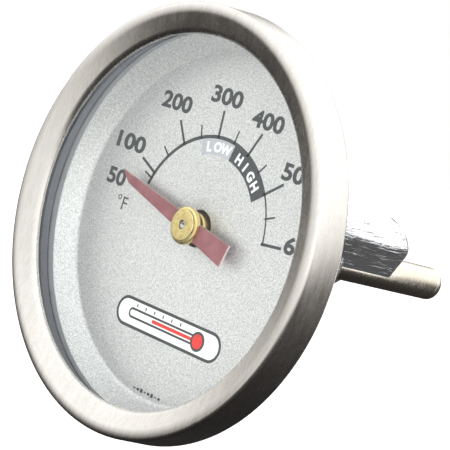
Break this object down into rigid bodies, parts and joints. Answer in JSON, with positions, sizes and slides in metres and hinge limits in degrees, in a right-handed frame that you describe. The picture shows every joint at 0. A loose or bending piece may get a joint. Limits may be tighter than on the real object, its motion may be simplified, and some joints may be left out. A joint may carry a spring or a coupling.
{
  "type": "grill lid thermometer",
  "caption": "Round dial thermometer for a grill lid, with a rolled steel bezel, glass lens, red pointer, threaded shank, wing nut and a blunt bimetal stem.",
  "frame": {"origin": "on the gauge axis, in the plane where the back of the case sits on the lid", "axes": "+Y along the stem away from the dial, +Z towards 12 o'clock, so the dial faces -Y"},
  "size_m": [0.0766, 0.0752, 0.0766],
  "materials": {
    "bezel_steel": "brushed round the ring",
    "lens_glass": "clear",
    "gasket_rubber": "matte",
    "spacer_paint": "satin dark grey",
    "dial_face": "fine satin grain with grey print",
    "case_steel": "drawn, lightly scuffed",
    "seal_fibre": "matte fibre",
    "shank_plating": "zinc plated, cut thread",
    "stem_steel": "polished tube",
    "inner_steel": "bright drawn",
    "bimetal": "rolled strip",
    "brass": "turned",
    "hub_brass": "bright, turned face",
    "pointer_paint": "dusty red, bare sheared edges",
    "washer_plating": "zinc plated",
    "nut_plating": "bright nickel plated"
  },
  "bodies": {
    "case": {"bezel": "bezel_steel", "lens": "lens_glass", "lens_gasket": "gasket_rubber", "spacer_ring": "spacer_paint", "dial": "dial_face", "case_back": "case_steel", "shank_seal": "seal_fibre", "threaded_shank": "shank_plating", "stem_tube": "stem_steel", "stem_cap": "stem_steel", "coil_anchor": "inner_steel", "bimetal_coil": "bimetal", "guide_bearing": "brass", "staff_bushing": "brass"},
    "movement": {"pointer": "pointer_paint", "pointer_hub": "hub_brass", "pointer_washer": "brass", "pointer_staff": "inner_steel", "coil_collar": "brass"},
    "washer": {"panel_washer": "washer_plating"},
    "nut": {"wing_nut": "nut_plating"}
  },
  "joints": [
    {"name": "pointer_spin", "type": "hinge", "parent": "case", "child": "movement", "pos_m": [0, 0, 0], "axis": [0, 1, 0], "range_deg": [-5, 163], "stiffness_Nm_per_rad": 0.0002},
    {"name": "washer_slide", "type": "slide", "parent": "case", "child": "washer", "axis": [0, -1, 0], "range_m": [-0.004, 0.0175]},
    {"name": "nut_spin", "type": "hinge", "parent": "washer", "child": "nut", "pos_m": [0, 0.0195, 0], "axis": [0, -1, 0], "range_deg": [-900, 3960]}
  ],
  "couplings": [
    {"joint": "washer_slide", "follows": "nut_spin", "m_per_rad": 0.00025266}
  ]
}
